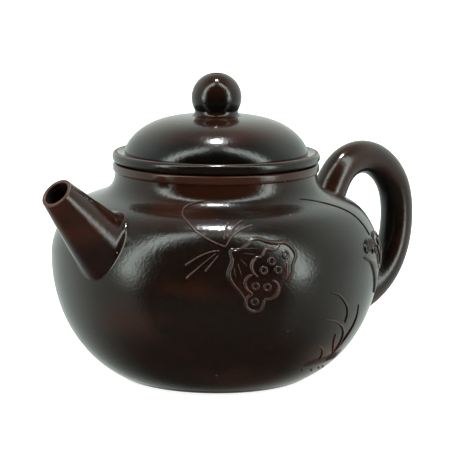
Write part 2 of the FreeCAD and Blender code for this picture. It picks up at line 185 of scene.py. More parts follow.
def wall_r(z):
    """Outer radius of the body at height z."""
    i = min(max(bisect.bisect_right(WALL_HEIGHTS, z), 1), len(WALL_HEIGHTS) - 1)
    (r0, z0), (r1, z1) = WALL_OUTLINE[i - 1], WALL_OUTLINE[i]
    return r0 + (r1 - r0) * (z - z0) / (z1 - z0)


def wall_normal(bearing, z):
    """Outward normal of the wall at a bearing in radians."""
    step = 0.4
    slope = (wall_r(z + step) - wall_r(z - step)) / (2 * step)
    return Vector((cos(bearing), sin(bearing), -slope)).normalized()


def on_wall(bearing_deg, z, lift=0.0):
    """The point at that bearing and height, raised off the wall by lift."""
    bearing = radians(bearing_deg)
    r = wall_r(z)
    return Vector((r * cos(bearing), r * sin(bearing), z)) + wall_normal(bearing, z) * lift


def outside_wall(point):
    """Distance of a point outside the wall, measured level; negative within it."""
    return hypot(point.x, point.y) - wall_r(point.z)


def drop_to_wall(point):
    """The nearest wall point, to within a hair."""
    for _ in range(4):
        bearing = atan2(point.y, point.x)
        normal = wall_normal(bearing, point.z)
        level = hypot(normal.x, normal.y)
        point = point - normal * outside_wall(point) * level
    return point


# --- Making pieces --------------------------------------------------------------------------
def finish_piece(piece, body, stands_for):
    """Puts a finished piece on its body and hides the CAD nodes it stands for."""
    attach(piece, body)
    if stands_for:
        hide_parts(*stands_for)


def place_object(name, data):
    """A new object, put in the scene."""
    thing = bpy.data.objects.new(name, data)
    bpy.context.scene.collection.objects.link(thing)
    return thing


def mesh_piece(name, verts, faces, materials, sharp=40.0):
    """A smooth-shaded mesh object from millimetre points, its faces turned outwards."""
    mesh = bpy.data.meshes.new(name)
    mesh.from_pydata([Vector(v) * MM for v in verts], [], faces)
    work = bmesh.new()
    work.from_mesh(mesh)
    bmesh.ops.recalc_face_normals(work, faces=work.faces)
    for face in work.faces:
        face.smooth = True
    work.to_mesh(mesh)
    work.free()
    mesh.set_sharp_from_angle(angle=radians(sharp))
    for material in materials:
        mesh.materials.append(material)
    return place_object(name, mesh)


def spun(name, outline, materials, segments=256, sharp=40.0):
    """A solid of revolution. The outline of (r, z) runs round its section, or from axis to axis."""
    verts = []
    rings = []
    for r, z in outline:
        if r < 1e-6:
            rings.append([len(verts)] * segments)
            verts.append((0.0, 0.0, z))
            continue
        rings.append([len(verts) + k for k in range(segments)])
        for k in range(segments):
            angle = 2 * pi * k / segments
            verts.append((r * cos(angle), r * sin(angle), z))
    faces = []
    closed = outline[0][0] > 1e-6
    pairs = list(zip(rings, rings[1:] + rings[:1])) if closed else list(zip(rings, rings[1:]))
    for low, high in pairs:
        for k in range(segments):
            face = [low[k], low[(k + 1) % segments], high[(k + 1) % segments], high[k]]
            face = list(dict.fromkeys(face))
            if len(face) > 2:
                faces.append(face)
    return mesh_piece(name, verts, faces, materials, sharp)


def tube_between(name, rings, materials, sharp=40.0, capped=False):
    """A skin through rings of points, capped at its ends or with its last ring joined to the first."""
    verts = [point for ring in rings for point in ring]
    n = len(rings[0])
    faces = []
    for i in range(len(rings) - capped):
        low = i * n
        high = ((i + 1) % len(rings)) * n
        for k in range(n):
            faces.append([low + k, low + (k + 1) % n, high + (k + 1) % n, high + k])
    if capped:
        faces += [list(range(n)), list(range(len(verts) - n, len(verts)))]
    return mesh_piece(name, verts, faces, materials, sharp)


def nearest_of(points):
    """A function that tells which of the points is nearest to a place."""
    tree = KDTree(len(points))
    for i, point in enumerate(points):
        tree.insert(point, i)
    tree.balance()
    return lambda place: tree.find(place)[1]


# --- Materials ------------------------------------------------------------------------------
class Nodes:
    """Short hand for building a shader tree."""

    def __init__(self, tree):
        self.tree = tree

    def add(self, kind, inputs=None, **settings):
        node = self.tree.nodes.new(kind)
        for key, value in settings.items():
            setattr(node, key, value)
        for key, value in (inputs or {}).items():
            self.put(node.inputs[key], value)
        return node

    def put(self, socket, value):
        if isinstance(value, bpy.types.NodeSocket):
            self.tree.links.new(value, socket)
        else:
            socket.default_value = value

    def math(self, operation, a, b=0.0, c=0.0, clamp=False):
        node = self.add("ShaderNodeMath", {0: a, 1: b, 2: c}, operation=operation, use_clamp=clamp)
        return node.outputs[0]

    def plus(self, a, b):
        return self.math("ADD", a, b)

    def minus(self, a, b):
        return self.math("SUBTRACT", a, b)

    def times(self, a, b):
        return self.math("MULTIPLY", a, b)

    def bump(self, height, strength, distance, under=None):
        """The normal of a bumpy skin, over another's normal if one is given."""
        node = self.add("ShaderNodeBump", {"Height": height, "Strength": strength, "Distance": distance})
        if under:
            self.put(node.inputs["Normal"], under)
        return node.outputs["Normal"]

    def ramp(self, value, low, high, to_low=0.0, to_high=1.0):
        """A soft step of value from low to high."""
        node = self.add("ShaderNodeMapRange", {"Value": value, "From Min": low, "From Max": high,
                                               "To Min": to_low, "To Max": to_high},
                        interpolation_type="SMOOTHSTEP")
        return node.outputs["Result"]

    def noise(self, where, scale, detail=2.0, roughness=0.5, distortion=0.0):
        node = self.add("ShaderNodeTexNoise", {"Vector": where, "Scale": scale, "Detail": detail,
                                               "Roughness": roughness, "Distortion": distortion})
        return node.outputs["Fac"]


def mixed(nodes, share, a, b):
    """Colour a turning into colour b as share goes from 0 to 1."""
    node = nodes.add("ShaderNodeMix", data_type="RGBA")
    first, second = [socket for socket in node.inputs if socket.type == "RGBA"]
    nodes.put(node.inputs[0], share)
    nodes.put(first, a)
    nodes.put(second, b)
    return [socket for socket in node.outputs if socket.type == "RGBA"][0]


# Painted shade colour: black laid where the clay sits in a crease or is turned from the light.
SHADE_BLACK = (0.0022, 0.0018, 0.0015, 1.0)
DARK_CLAY = (0.0046, 0.0029, 0.0021, 1.0)
RED_CLAY = (0.0210, 0.0058, 0.0027, 1.0)
LIP_RED = (0.0330, 0.0100, 0.0054, 1.0)
WORN_CLAY = (0.0880, 0.0250, 0.0125, 1.0)
PALE_SAND = (0.2600, 0.2100, 0.1600, 1.0)
RAW_DARK = (0.0200, 0.0095, 0.0065, 1.0)
RAW_RED = (0.0500, 0.0200, 0.0130, 1.0)


def blank_material(name):
    """A new material, its shader, its tree and the place it is seen at."""
    material = bpy.data.materials.new(name)
    material.use_nodes = True
    n = Nodes(material.node_tree)
    return material, n.tree.nodes["Principled BSDF"], n, n.add("ShaderNodeTexCoord").outputs["Object"]


def burnished_clay(name, red=0.5, shift=(0.0, 0.0, 0.0), shine=0.12, grain=1.0, worn=0.0,
                   tint=RED_CLAY, paints_shade=False, band_and_top_glow=False):
    """Fine purple clay rubbed to a soft shine, with redder patches, sand grains and rubbed ridges.

    The stored attribute says how far a point stands out, or how deep its painted shade is: with painted
    shade the clay is painted black where the value is low, as shade in creases and on sides turned from
    the light, and worn clay is rubbed red where it is high. Banded clay is redder towards the foot, and
    towards the neck, where the redder shoulder is partly painted light from above.
    """
    material, shader, n, where = blank_material(name)
    place = n.add("ShaderNodeMapping", {"Vector": where, "Location": shift}).outputs["Vector"]

    # Redder patches: broad clouds, pulled out sideways by the rubbing strokes.
    flat = n.add("ShaderNodeMapping", {"Vector": place, "Scale": (0.8, 0.8, 2.2)}).outputs["Vector"]
    clouds = n.noise(flat, 24.0, 2.0, 0.5, 0.2)
    blotches = n.noise(place, 90.0, 2.0, 0.5)
    patch = n.plus(clouds, n.times(n.minus(blotches, 0.5), 0.22))
    # Less red through the belly's middle and redder above and below it; towards the neck this is partly
    # painted light from above on the shoulder.
    if band_and_top_glow:
        height = n.add("ShaderNodeSeparateXYZ", {"Vector": where}).outputs["Z"]
        off_middle = n.math("ABSOLUTE", n.minus(height, 0.034))
        patch = n.plus(patch, n.ramp(off_middle, 0.008, 0.024, -0.10, 0.06))
    patch = n.ramp(patch, 0.56 - 0.22 * red, 0.84 - 0.22 * red)
    colour = mixed(n, patch, DARK_CLAY, tint)

    # The sand in the clay: tiny paler grains, and now and then a pale one.
    fine = n.noise(place, 2600.0, 2.0, 0.6)
    colour = mixed(n, n.ramp(fine, 0.50, 0.80, 0.0, 0.22), colour, WORN_CLAY)
    sand = n.add("ShaderNodeTexVoronoi", {"Vector": place, "Scale": 560.0})
    pick = n.add("ShaderNodeSeparateColor", {"Color": sand.outputs["Color"]}).outputs["Red"]
    speck = n.times(n.math("LESS_THAN", sand.outputs["Distance"], 0.12),
                   n.math("GREATER_THAN", pick, 0.975))
    colour = mixed(n, n.times(speck, 0.6), colour, PALE_SAND)

    if paints_shade or worn > 0.0:
        rub_and_shade = n.add("ShaderNodeAttribute", attribute_name="rub_and_shade").outputs["Fac"]
        broken = n.minus(n.noise(place, 480.0, 3.0, 0.6), 0.5)
        # Painted shade: the clay goes black where the stored value is low.
        if paints_shade:
            colour = mixed(n, n.ramp(rub_and_shade, 0.25, 0.75), SHADE_BLACK, colour)
        rub = n.plus(rub_and_shade, n.times(broken, 0.5))
        rubbed = n.ramp(rub, 0.80, 1.06)
        colour = mixed(n, n.times(rubbed, worn), colour, WORN_CLAY)
    n.put(shader.inputs["Base Color"], colour)

    # Shine varies with the rubbing.
    smears = n.noise(flat, 60.0, 3.0, 0.6, 0.4)
    rough = n.plus(n.ramp(smears, 0.3, 0.7, shine - 0.03, shine + 0.06),
                   n.times(fine, 0.05))
    if worn > 0.0:
        rough = n.plus(rough, n.times(rubbed, 0.4 * worn))
    n.put(shader.inputs["Roughness"], rough)

    # Skin: beaten unevenness, orange-peel grain and open pores.
    beaten = n.bump(n.noise(place, 60.0, 1.0, 0.5), 0.13, 0.0003)
    peel = n.bump(n.noise(place, 1000.0, 1.0, 0.5), 0.55 * grain, 0.00007, beaten)
    pores = n.add("ShaderNodeTexVoronoi", {"Vector": place, "Scale": 900.0})
    pit = n.ramp(pores.outputs["Distance"], 0.0, 0.35)
    n.put(shader.inputs["Normal"], n.bump(pit, 0.10 * grain, 0.00006, peel))
    shader.inputs["IOR"].default_value = 1.5
    return material


def raw_clay(name):
    """The unrubbed clay inside the pot and under the lid: matt, redder, with tool strokes."""
    material, shader, n, where = blank_material(name)
    clouds = n.noise(where, 45.0, 4.0, 0.6)
    colour = mixed(n, n.ramp(clouds, 0.35, 0.7), RAW_DARK, RAW_RED)
    grains = n.noise(where, 1800.0, 3.0, 0.65)
    colour = mixed(n, n.ramp(grains, 0.5, 0.8, 0.0, 0.5), colour, WORN_CLAY)
    n.put(shader.inputs["Base Color"], colour)
    strokes = n.add("ShaderNodeMapping", {"Vector": where, "Scale": (0.4, 0.4, 3.0)}).outputs["Vector"]
    wiped = n.bump(n.noise(strokes, 240.0, 3.0, 0.6), 0.5, 0.0002)
    n.put(shader.inputs["Normal"], n.bump(grains, 0.6, 0.0001, wiped))
    shader.inputs["Roughness"].default_value = 0.72
    return material


BELLY_CLAY = burnished_clay("belly_clay", red=0.6, band_and_top_glow=True)
LIP_CLAY = burnished_clay("lip_clay", red=2.0, shift=(0.3, 0.1, 0.0), worn=0.15, tint=LIP_RED)
RIM_CLAY = burnished_clay("lid_rim_clay", red=0.3, shift=(0.1, 0.5, 0.2), shine=0.11, worn=1.0)
DOME_CLAY = burnished_clay("dome_clay", red=1.3, shift=(0.7, 0.2, 0.05), shine=0.11, paints_shade=True)
KNOB_CLAY = burnished_clay("knob_clay", red=1.1, shift=(0.2, 0.9, 0.4), shine=0.10, paints_shade=True)
SPOUT_CLAY = burnished_clay("spout_clay", red=0.7, shift=(0.45, 0.3, 0.1), shine=0.13, worn=0.6)
BORE_CLAY = burnished_clay("bore_clay", red=-2.0, shift=(0.5, 0.5, 0.1), shine=0.5)
HANDLE_CLAY = burnished_clay("handle_clay", red=1.3, shift=(0.15, 0.75, 0.3), shine=0.13, paints_shade=True)
RELIEF_CLAY = burnished_clay("relief_clay", red=0.7, grain=0.7, worn=0.62, paints_shade=True)
EDGE_CLAY = burnished_clay("edge_clay", red=0.4, grain=0.7, worn=0.32, paints_shade=True)
THREAD_CLAY = burnished_clay("thread_clay", red=0.4, grain=0.7, worn=0.15, paints_shade=True)
RAW_CLAY = raw_clay("raw_clay")


# --- Body -----------------------------------------------------------------------------------
SPOUT_AXIS = Vector((-cos(SPOUT_ANGLE), 0.0, sin(SPOUT_ANGLE)))
SPOUT_ROOT = Vector((-wall_r(SPOUT_ROOT_Z), 0.0, SPOUT_ROOT_Z))
SIDEWAYS = Vector((0.0, 1.0, 0.0))
SPOUT_UP = SPOUT_AXIS.cross(SIDEWAYS)


def cut_spout_hole(body):
    """Opens the wall behind the spout."""
    cutter = place_object("spout_hole", bpy.data.meshes.new("spout_hole"))
    hole_r = SPOUT_BORE_ROOT_R + 0.3
    work = bmesh.new()
    turn = SPOUT_AXIS.to_track_quat("Z", "Y").to_matrix().to_4x4()
    place = Matrix.Translation(SPOUT_ROOT * MM) @ turn
    bmesh.ops.create_cone(work, cap_ends=True, segments=64, radius1=hole_r * MM, radius2=hole_r * MM,
                          depth=20 * MM, matrix=place)
    work.to_mesh(cutter.data)
    work.free()
    cut = body.modifiers.new("hole", "BOOLEAN")
    cut.operation = "DIFFERENCE"
    cut.solver = "EXACT"
    cut.object = cutter
    cut_mesh = bpy.data.meshes.new_from_object(body.evaluated_get(bpy.context.evaluated_depsgraph_get()))
    body.modifiers.clear()
    body.data = cut_mesh
    bpy.data.objects.remove(cutter)


def make_body():
    """Wall, shoulder and neck as one skin, as they are once luted and rubbed down."""
    outer = body_outline(0, FOOT_Z, FOOT_R, 120)
    low = [p for p in outer if p[1] > 1.4]
    foot = bezier((FOOT_R - 1.6, FOOT_Z), (FOOT_R - 0.4, FOOT_Z), (low[0][0] - 0.9, low[0][1] - 0.9),
                  low[0], 8)
    cavity_r = wall_r(FLOOR_Z) - 1.5 * WALL
    inner = body_outline(WALL, FLOOR_Z, cavity_r, 60)
    section = [(BASE_DISC_R, FOOT_Z), (BASE_DISC_R + 1.2, FOOT_Z)] + foot + low[1:]
    section += inner[::-1] + [(BASE_DISC_R, FLOOR_Z)]
    body = spun("pot_body", section, [BELLY_CLAY, RAW_CLAY], 256)
    cut_spout_hole(body)
    outer_skin = WALL * 0.55
    for polygon in body.data.polygons:
        centre = polygon.center / MM
        inside = wall_r(centre.z) - hypot(centre.x, centre.y) > outer_skin and centre.z > FLOOR_Z - 1.0
        polygon.material_index = 1 if inside else 0
    finish_piece(body, "pot", ["body_wall", "upper_wall", "shoulder_disc", "neck_ring"])


def make_base():
    """The disc under the pot, pressed in at its middle."""
    under = []
    for i in range(25):
        r = BASE_DISC_R * i / 24
        under.append((r, BASE_HOLLOW * (1.0 - (r / BASE_DISC_R) ** 2)))
    section = under + [(BASE_DISC_R, FLOOR_Z), (0.0, FLOOR_Z)]
    base = spun("base", section, [BELLY_CLAY, RAW_CLAY], 160)
    for polygon in base.data.polygons:
        polygon.material_index = 1 if polygon.center.z / MM > FLOOR_Z - 0.1 else 0
    finish_piece(base, "pot", ["base_disc"])


def mark_rub_and_shade(piece, strength):
    """Stores for each point how rubbed it is, or how deep its painted shade is, from a function of its place
    in millimetres.
    """
    rub_and_shade = piece.data.attributes.new("rub_and_shade", "FLOAT", "POINT")
    for i, vertex in enumerate(piece.data.vertices):
        rub_and_shade.data[i].value = strength(vertex.co / MM)


def make_lip():
    """Lip ring with a rounded outer edge and a flat seat for the lid."""
    low, high = LIP_LOW_Z, SEAT_Z
    section = [(MOUTH_R, high - 0.3), (MOUTH_R + 0.3, high)]
    section += arc(LIP_R - 0.7, high - 0.7, 0.7, 90, 0, 8)
    section += [(LIP_R, (low + high) / 2)]
    section += arc(LIP_R - 0.9, low + 0.9, 0.9, 0, -90, 8)
    section += [(NECK_R - 0.2, low), (MOUTH_R, low)]
    lip = spun("mouth_lip_ring", section, [LIP_CLAY], 256)
    mark_rub_and_shade(lip, lambda p: 0.45 + 0.5 * (p.z - low) / (high - low))
    finish_piece(lip, "pot", ["mouth_lip"])


# --- Spout and handle roots -----------------------------------------------------------------
ROOT_TUCK = 0.25        # how far the edge of a root runs under the wall


def joint_with_wall(start, end):
    """Where a straight line from start, clear of the wall, to end, inside it, meets the wall."""
    low, high = 0.0, 1.0
    for _ in range(30):
        middle = (low + high) / 2
        if outside_wall(start.lerp(end, middle)) > 0:
            low = middle
        else:
            high = middle
    return start.lerp(end, low)


def fillet(joint, above, outward, spread, steps):
    """Curve from above down to the wall, landing flat on it at spread from the joint."""
    bearing = atan2(joint.y, joint.x)
    normal = wall_normal(bearing, joint.z)
    across = (outward - normal * outward.dot(normal)).normalized()
    landing = drop_to_wall(joint + across * spread)
    corner = joint + normal * 0.02
    points = []
    for i in range(steps + 1):
        t = i / steps
        points.append(above * (1 - t) ** 2 + corner * 2 * t * (1 - t) + landing * t * t)
    bearing = atan2(landing.y, landing.x)
    tucked = landing - wall_normal(bearing, landing.z) * ROOT_TUCK
    return points, tucked


def make_spout():
    """Straight tapered spout with a thin round-edged mouth, luted on with a soft fillet."""
    around = 128
    edge = 0.32
    taper = (SPOUT_ROOT_R - SPOUT_TIP_R) / SPOUT_LENGTH
    lines = []
    for k in range(around):
        angle = 2 * pi * k / around
        out = SIDEWAYS * cos(angle) + SPOUT_UP * sin(angle)
        start = SPOUT_ROOT + SPOUT_AXIS * (SPOUT_LENGTH - edge) + out * SPOUT_TIP_R
        end = SPOUT_ROOT - SPOUT_AXIS * 9.0 + out * (SPOUT_ROOT_R + 9.0 * taper)
        low_side = 0.5 - 0.5 * sin(angle)
        joint = joint_with_wall(start, end)
        above = joint - (joint - start).normalized() * (0.35 + 2.8 * low_side)
        curve, tucked = fillet(joint, above, out, 0.2 + 2.2 * low_side, 10)
        side = [start.lerp(above, i / 40) for i in range(40)]
        rim = [SPOUT_ROOT + SPOUT_AXIS * (SPOUT_LENGTH + z) + out * r for r, z in
               arc(SPOUT_TIP_R - edge, -edge, edge, 0, 90, 5)
               + arc(SPOUT_BORE_TIP_R + edge, -edge, edge, 90, 180, 5)]
        bore = []
        for i in range(13):
            depth = i / 12
            radius = SPOUT_BORE_TIP_R + (SPOUT_BORE_ROOT_R - SPOUT_BORE_TIP_R) * depth
            bore.append(SPOUT_ROOT + SPOUT_AXIS * ((SPOUT_LENGTH - 1.0) * (1 - depth) - 1.0) + out * radius)
        lines.append([tucked] + curve[::-1] + side[:0:-1] + rim + bore[1:])
    spout = tube_between("spout_tube", list(zip(*lines)), [SPOUT_CLAY, BORE_CLAY], 60)
    for polygon in spout.data.polygons:
        centre = polygon.center / MM - SPOUT_ROOT
        along = centre.dot(SPOUT_AXIS)
        off_axis = (centre - SPOUT_AXIS * along).length
        limit = SPOUT_BORE_TIP_R + (SPOUT_BORE_ROOT_R - SPOUT_BORE_TIP_R) * (1 - along / SPOUT_LENGTH) + 0.15
        polygon.material_index = 1 if off_axis < limit and along < SPOUT_LENGTH - 0.6 else 0

    def near_tip(point):
        along = (point - SPOUT_ROOT).dot(SPOUT_AXIS)
        return max(0.0, min(1.1, (along - SPOUT_LENGTH + 1.4) / 1.2))
    mark_rub_and_shade(spout, near_tip)
    finish_piece(spout, "pot", ["spout"])


def trim_root(line, frames, angle):
    """One lengthwise line of the handle, cut at the wall and filleted into it at both ends."""
    clear = [i for i, p in enumerate(line) if outside_wall(p) > 0]
    ends = []
    for index, step, turn_at, spread in ((clear[0], -1, 2.2, 1.5), (clear[-1], 1, 1.8, 1.3)):
        joint = joint_with_wall(line[index], line[index + step])
        walk = index
        while (line[walk] - joint).length < turn_at:
            walk -= step
        out = frames[index][1] * cos(angle) + SIDEWAYS * sin(angle)
        ends.append((walk, *fillet(joint, line[walk], out, spread, 8)))
    (start, first_curve, first_tuck), (stop, last_curve, last_tuck) = ends
    middle = np.array(line[start + 1:stop])
    lengths = np.concatenate([[0.0], np.cumsum(np.linalg.norm(np.diff(middle, axis=0), axis=1))])
    wanted = np.linspace(0.0, lengths[-1], 180)
    even = [Vector(p) for p in zip(*(np.interp(wanted, lengths, middle[:, k]) for k in range(3)))]
    return [first_tuck] + first_curve[::-1] + even + last_curve + [last_tuck]


def make_handle():
    """Bow handle swept along a smooth line, thinner at its lower end, with both roots luted on."""
    stations = smooth_path(HANDLE_STATIONS, 260)
    around = 96
    centres = [Vector((x, 0.0, z)) for x, z, r in stations]
    frames = []
    for i, centre in enumerate(centres):
        ahead = (centres[min(i + 1, len(centres) - 1)] - centres[max(i - 1, 0)]).normalized()
        frames.append((centre, ahead.cross(SIDEWAYS), stations[i][2]))
    lines = []
    for k in range(around):
        angle = 2 * pi * k / around
        line = [c + (across * cos(angle) + SIDEWAYS * sin(angle)) * r for c, across, r in frames]
        lines.append(trim_root(line, frames, angle))
    handle = tube_between("handle_bow", list(zip(*lines)), [HANDLE_CLAY], 60, capped=True)
    nearest = nearest_of(centres)

    # Painted shade: the handle's inner side, facing the pot, is painted black.
    def inner_side_shade(point):
        centre, across, r = frames[nearest(point)]
        return 0.8 + 0.55 * (point - centre).dot(across) / r
    mark_rub_and_shade(handle, inner_side_shade)
    finish_piece(handle, "pot", ["handle"])


# --- Lid ------------------------------------------------------------------------------------
def make_lid_rim():
    """Flat ring of the lid: rounded edge, a raised bead near the top, and a shallow groove inside it."""
    low, high = SEAT_Z, RIM_TOP_Z
    bore = FLANGE_R - FLANGE_WALL
    section = [(bore, low), (LIP_R - 2.2, low)]
    section += bezier((LIP_R - 2.2, low), (LID_RIM_R - 1.2, low + 0.05), (LID_RIM_R - 0.15, low + 0.45),
                      (LID_RIM_R, low + 1.35), 10)[1:]
    section += arc(LID_RIM_R - 1.15, high - 1.15, 1.15, 5, 100, 14)
    section += bezier((LID_RIM_R - 1.35, high - 0.02), (LID_RIM_R - 1.9, high - 0.12),
                      (DOME_R + 1.2, high - 0.5), (DOME_R - 0.2, high - 0.45), 8)[1:]
    section += [(bore, high - 0.45)]
    rim = spun("lid_rim_ring", section, [RIM_CLAY], 256, 50)

    def rubbed(point):
        r = hypot(point.x, point.y)
        return 1.25 * exp(-((point.z - high) / 0.45) ** 2 - ((r - LID_RIM_R + 1.1) / 0.7) ** 2)
    mark_rub_and_shade(rim, rubbed)
    finish_piece(rim, "lid", ["lid_rim"])


def make_flange():
    """The ring under the lid that locks it in the mouth."""
    low, high = FLANGE_LOW_Z, SEAT_Z
    bore = FLANGE_R - FLANGE_WALL
    section = [(bore, high)] + arc(bore + 0.5, low + 0.5, 0.5, 180, 270, 5)
    section += arc(FLANGE_R - 0.6, low + 0.6, 0.6, -90, 0, 6) + [(FLANGE_R, high)]
    flange = spun("lid_locking_ring", section, [RAW_CLAY], 200)
    finish_piece(flange, "lid", ["lid_flange"])


def dome_z(r, inset=0.0):
    share = min(r / (DOME_R - inset), 1.0)
    height = CROWN_Z - RIM_TOP_Z - inset
    return RIM_TOP_Z + height * (1.0 - share ** DOME_R_POWER) ** (1.0 / DOME_Z_POWER)


def make_dome():
    """Domed top of the lid, hollow underneath, with the vent through its crown."""
    base = RIM_TOP_Z - 0.45
    outer = [(DOME_R, base)]
    inner = []
    for i in range(73):
        share = cos(pi / 2 * i / 72)
        r = max(DOME_R * share, VENT_R)
        outer.append((r, dome_z(r)))
        if r == VENT_R:
            break
    for i in range(49):
        share = cos(pi / 2 * i / 48)
        r = max((DOME_R - DOME_WALL) * share, VENT_R)
        inner.append((r, dome_z(r, DOME_WALL)))
        if r == VENT_R:
            break
    section = outer + inner[::-1] + [(DOME_R - DOME_WALL, base)]
    dome = spun("lid_dome_shell", section, [DOME_CLAY, RAW_CLAY], 256)
    for polygon in dome.data.polygons:
        centre = polygon.center / MM
        r = hypot(centre.x, centre.y)
        polygon.material_index = 1 if centre.z < dome_z(r) - DOME_WALL * 0.6 else 0
    # Painted shade: the dome goes black towards its foot, in the groove by the rim.
    mark_rub_and_shade(dome, lambda p: (p.z - RIM_TOP_Z) / (CROWN_Z - RIM_TOP_Z))
    finish_piece(dome, "lid", ["lid_dome"])


def make_collar():
    """Flared pad that joins the knob to the dome."""
    foot = (COLLAR_R, dome_z(COLLAR_R) - 0.05)
    waist = (COLLAR_NECK_R, COLLAR_TOP_Z)
    section = [(VENT_R, CROWN_Z - 0.3), (COLLAR_R - 0.5, dome_z(COLLAR_R) - 0.3)]
    section += bezier(foot, (COLLAR_R - 1.3, foot[1] + 0.10), (COLLAR_NECK_R + 0.1, waist[1] - 0.9),
                      waist, 14)
    section += [(VENT_R, COLLAR_TOP_Z)]
    collar = spun("knob_pad", section, [DOME_CLAY], 160)
    mark_rub_and_shade(collar, lambda p: 0.7)
    finish_piece(collar, "lid", ["knob_collar"])


def make_knob():
    """Ball knob with the vent's small round-edged hole in its top."""
    centre_z = COLLAR_TOP_Z + sqrt(KNOB_R ** 2 - COLLAR_NECK_R ** 2)
    start = -degrees(acos(COLLAR_NECK_R / KNOB_R))
    end = degrees(acos((VENT_R + 0.35) / KNOB_R))
    ball = arc(0.0, centre_z, KNOB_R, start, end, 90)
    edge = ball[-1]
    section = [(VENT_R, COLLAR_TOP_Z)] + ball
    section += bezier(edge, (VENT_R + 0.15, edge[1] + 0.06), (VENT_R, edge[1] - 0.05),
                      (VENT_R, edge[1] - 0.5), 6)[1:]
    knob = spun("ball_knob", section, [KNOB_CLAY], 160)
    # Painted shade: the ball goes black below its middle, where it is turned away from the light above.
    mark_rub_and_shade(knob, lambda p: 0.46 + 0.6 * (p.z - centre_z) / KNOB_R)
    finish_piece(knob, "lid", ["knob"])


# --- Relief ---------------------------------------------------------------------------------
def cord_tree():
    """Geometry nodes that sweep a round cord of clay along each curve, as thick as its points say."""
    tree = bpy.data.node_groups.new("luted_cord", "GeometryNodeTree")
    for name, kind in (("Lines", "Geometry"), ("Thickness", "Float"), ("Sides", "Int"), ("Clay", "Material")):
        tree.interface.new_socket(name, in_out="INPUT", socket_type="NodeSocket" + kind)
    tree.interface.new_socket("Cords", in_out="OUTPUT", socket_type="NodeSocketGeometry")
    n = Nodes(tree)
    given = n.add("NodeGroupInput").outputs
    section = n.add("GeometryNodeCurvePrimitiveCircle", {"Resolution": given["Sides"]})
    n.put(section.inputs["Radius"], n.add("ShaderNodeMath", {0: given["Thickness"], 1: 0.5},
                                          operation="MULTIPLY").outputs[0])
    swept = n.add("GeometryNodeCurveToMesh", {"Curve": given["Lines"],
                                              "Profile Curve": section.outputs["Curve"],
                                              "Fill Caps": True})
    n.put(swept.inputs["Scale"], n.add("GeometryNodeInputRadius").outputs["Radius"])
    smooth = n.add("GeometryNodeSetShadeSmooth", {"Geometry": swept.outputs["Mesh"]})
    real = n.add("GeometryNodeRealizeInstances", {"Geometry": smooth.outputs["Geometry"]})
    painted = n.add("GeometryNodeSetMaterial", {"Geometry": real.outputs["Geometry"],
                                                "Material": given["Clay"]})
    out = n.add("NodeGroupOutput")
    n.put(out.inputs["Cords"], painted.outputs["Geometry"])
    return tree


CORD_TREE = cord_tree()


def set_input(modifier, name, value):
    for item in modifier.node_group.interface.items_tree:
        if item.name == name and item.in_out == "INPUT":
            modifier[item.identifier] = value


def cords(name, lines, node, top=0.5, clay=RELIEF_CLAY):
    """Cords of clay on the wall, standing out from it by top.

    Each line is (points, widths, closed): points are (bearing, height), widths are millimetres at
    its start, middle and end.
    """
    curve = bpy.data.curves.new(name, "CURVE")
    curve.dimensions = "3D"
    centres = []
    for points, widths, closed in lines:
        wide = [(b * pi * BELLY_R / 180.0, z) for b, z in points]
        count = max(10, int(6 * sum(dist(p, q) for p, q in zip(wide, wide[1:]))))
        path = smooth_path(wide, count, closed)
        spline = curve.splines.new("POLY")
        spline.points.add(count - 1)
        spline.use_cyclic_u = closed
        length = sum(np.linalg.norm(q - p) for p, q in zip(path, path[1:]))
        for i, (u, z) in enumerate(path):
            width = cord_width(widths, i / (count - 1), length, closed)
            bearing = u * 180.0 / (pi * BELLY_R)
            local_top = top * min(1.0, width / max(widths))
            point = on_wall(bearing, z, local_top - width / 2)
            centres.append((point, local_top))
            spline.points[i].co = (point.x * MM, point.y * MM, point.z * MM, 1.0)
            spline.points[i].radius = width
    drawn = place_object(name + "_lines", curve)
    sweep = drawn.modifiers.new("cord", "NODES")
    sweep.node_group = CORD_TREE
    set_input(sweep, "Thickness", MM)
    set_input(sweep, "Sides", 12)
    set_input(sweep, "Clay", clay)
    ready = drawn.evaluated_get(bpy.context.evaluated_depsgraph_get())
    mesh = bpy.data.meshes.new_from_object(ready)
    mesh.name = name
    bpy.data.objects.remove(drawn)
    piece = place_object(name, mesh)
    nearest = nearest_of([point for point, local_top in centres])
    # Painted shade: each cord's sides are black where they sit low by the wall; worn clays rub its crest red.
    mark_rub_and_shade(piece, lambda p: min(1.0, max(0.0, outside_wall(p)) / centres[nearest(p)][1]))
    finish_piece(piece, "pot", [node] if node else [])


def cord_width(widths, share, length, closed):
    """Width of a cord at a share of its length, with round ends unless it is closed."""
    first, middle, last = widths
    if share < 0.5:
        width = first + (middle - first) * share * 2
    else:
        width = middle + (last - middle) * (share * 2 - 1)
    if not closed:
        for gap, end in ((share * length, first), ((1 - share) * length, last)):
            if gap < end / 2:
                width *= sqrt(max(0.02, 1 - (1 - 2 * gap / end) ** 2))
    return width


EDGE_SLOPE = 0.9        # width of a pad's rounded edge
EDGE_SUNK = 0.2         # how far that edge runs under the wall
PAD_BACK = 0.45         # depth of a pad's back in the wall


